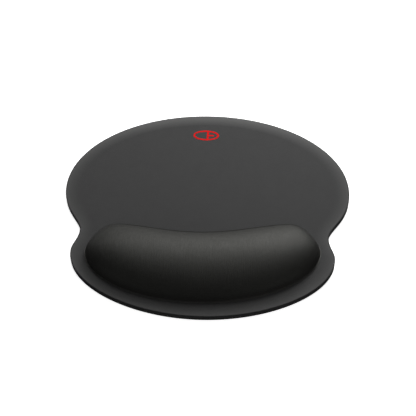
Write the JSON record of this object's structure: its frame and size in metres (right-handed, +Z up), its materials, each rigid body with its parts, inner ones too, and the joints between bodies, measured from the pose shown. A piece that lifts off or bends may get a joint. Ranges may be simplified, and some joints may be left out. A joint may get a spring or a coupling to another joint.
{
  "type": "mouse mat with wrist rest",
  "caption": "Low cushioned mouse mat: an elliptical mouse area, a narrow waist and a rounded front lobe that carries a kidney-shaped foam wrist cushion.",
  "frame": {"origin": "on the desk, at the middle of the mat's bounding box, under the grip rubber", "axes": "+X to the user's right along the mat's width, +Y away from the user towards the mouse area, +Z up from the desk"},
  "size_m": [0.25, 0.23, 0.0249],
  "materials": {
    "grip_rubber": "matt black foamed rubber with a fine moulded grip texture underneath",
    "laminating_glue": "thin, slightly yellow hot-melt glue",
    "mat_foam": "dark grey closed-cell foam, matt and finely porous on its cut edge",
    "mat_cloth": "matt charcoal polyester cloth with a fine tight weave and a soft pressed rim",
    "red_print": "opaque red screen print, semi-matt",
    "backing_sheet": "smooth black plastic sheet",
    "core_foam": "pale cream slow-recovery foam with fine open cells",
    "sealing_film": "thin, slightly cloudy polyurethane film",
    "cover_knit": "black stretch knit with fine ribs and a soft satin sheen"
  },
  "bodies": {
    "root": {"grip_base": "grip_rubber", "base_glue_film": "laminating_glue", "mat_foam": "mat_foam", "mat_cloth": "mat_cloth", "printed_mark": "red_print", "cushion_glue": "laminating_glue", "cushion_backing": "backing_sheet", "cushion_core": "core_foam", "core_film": "sealing_film", "cushion_cover": "cover_knit"}
  },
  "joints": []
}
